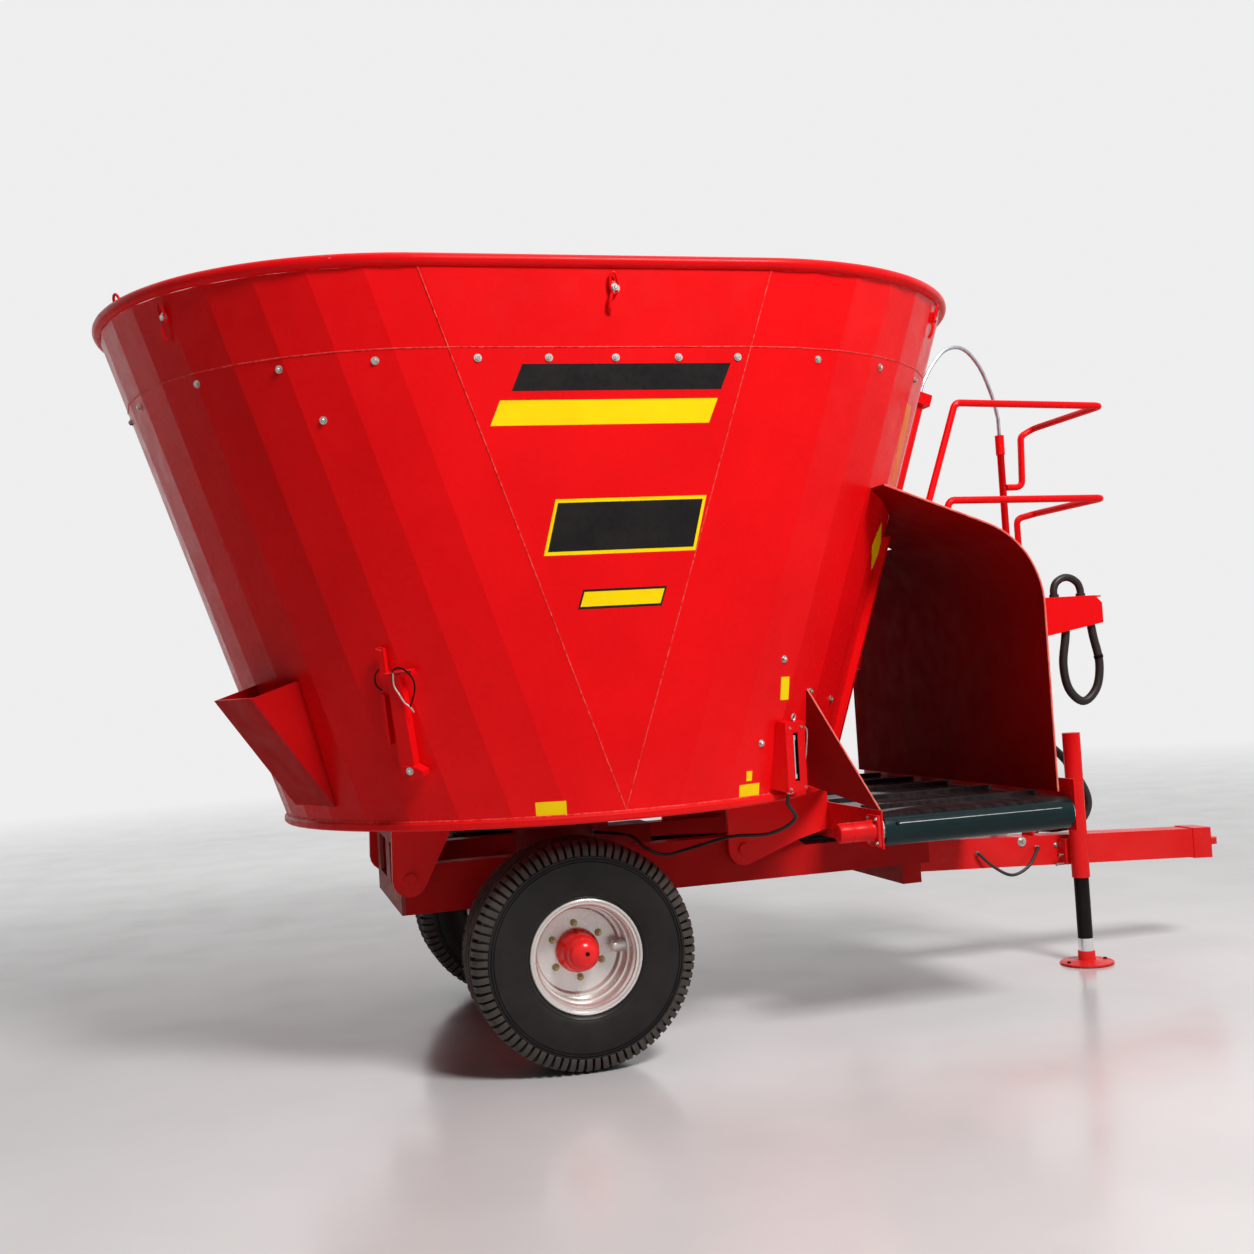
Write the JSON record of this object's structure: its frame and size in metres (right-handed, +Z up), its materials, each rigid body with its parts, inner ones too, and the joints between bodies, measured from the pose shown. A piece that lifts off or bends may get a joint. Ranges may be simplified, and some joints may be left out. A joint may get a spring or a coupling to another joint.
{
  "type": "feed mixer wagon",
  "caption": "Towed feed mixer wagon with a vertical auger in a faceted tub, a sliding discharge door and a front cross conveyor under a hood, on one axle and a parking jack",
  "frame": {"origin": "on the floor under the middle of the machine's length and width", "axes": "+X forward to the tow eye, +Y to the machine's left side, +Z up"},
  "size_m": [4.6049, 2.1356, 2.709],
  "materials": {
    "painted_red": "semi-gloss red paint",
    "painted_dark_red": "darker red paint",
    "silver_rim": "silver paint",
    "bare_steel": "galvanised or bare steel",
    "chrome_rod": "hard chrome",
    "black_steel": "black paint",
    "tyre_rubber": "black tyre rubber",
    "belt_rubber": "dark green belt",
    "hose_rubber": "black hose"
  },
  "bodies": {
    "chassis": {"axle_beam": "painted_dark_red", "cell_bracket_front_left": "painted_red", "cell_bracket_front_right": "painted_red", "cell_bracket_rear_left": "painted_red", "cell_bracket_rear_right": "painted_red", "conveyor_belt": "belt_rubber", "conveyor_frame": "painted_red", "conveyor_hose": "hose_rubber", "conveyor_motor": "painted_red", "conveyor_roller_left": "bare_steel", "conveyor_roller_right": "bare_steel", "counter_knife_left": "painted_red", "counter_knife_right": "painted_red", "door_guide_left": "painted_red", "door_guide_right": "painted_red", "drawbar": "painted_red", "driveline_guard": "black_steel", "frame_beam_left": "painted_red", "frame_beam_right": "painted_red", "frame_front_member": "painted_red", "frame_middle_member": "painted_red", "frame_rear_member": "painted_red", "frame_rear_plate": "painted_red", "gearbox": "painted_dark_red", "guard_rail_lower": "painted_red", "guard_rail_upper": "painted_red", "hood": "painted_red", "hose_loop_lower": "hose_rubber", "hose_loop_upper": "hose_rubber", "indicator_post": "painted_red", "indicator_tube": "bare_steel", "jack_tube": "painted_red", "oil_reservoir": "painted_red", "platform": "painted_red", "ram_barrel": "painted_red", "rear_pocket": "painted_red", "reservoir_hose": "hose_rubber", "spill_plate_left": "painted_red", "spill_plate_right": "painted_red", "tow_eye": "painted_red", "tub_floor": "painted_red", "tub_rim": "painted_red", "tub_wall": "painted_red"},
    "auger": {"auger": "painted_red"},
    "door": {"discharge_door": "painted_red", "ram_rod": "chrome_rod"},
    "jack": {"jack_leg": "black_steel"},
    "wheel_right": {"tyre_right": "tyre_rubber", "rim_right": "silver_rim", "hub_right": "painted_red"},
    "wheel_left": {"tyre_left": "tyre_rubber", "rim_left": "silver_rim", "hub_left": "painted_red"}
  },
  "joints": [
    {"name": "auger_spin", "type": "hinge", "parent": "chassis", "child": "auger", "pos_m": [-0.656, 0, 0.885], "axis": [0, 0, 1], "continuous": true},
    {"name": "door_slide", "type": "slide", "parent": "chassis", "child": "door", "axis": [0.3271, 0, 0.945], "range_m": [0, 0.42]},
    {"name": "jack_slide", "type": "slide", "parent": "chassis", "child": "jack", "axis": [0, 0, 1], "range_m": [0, 0.3]},
    {"name": "wheel_right_spin", "type": "hinge", "parent": "chassis", "child": "wheel_right", "pos_m": [-0.768, -0.69, 0.39], "axis": [0, 1, 0], "continuous": true},
    {"name": "wheel_left_spin", "type": "hinge", "parent": "chassis", "child": "wheel_left", "pos_m": [-0.768, 0.69, 0.39], "axis": [0, 1, 0], "continuous": true}
  ]
}
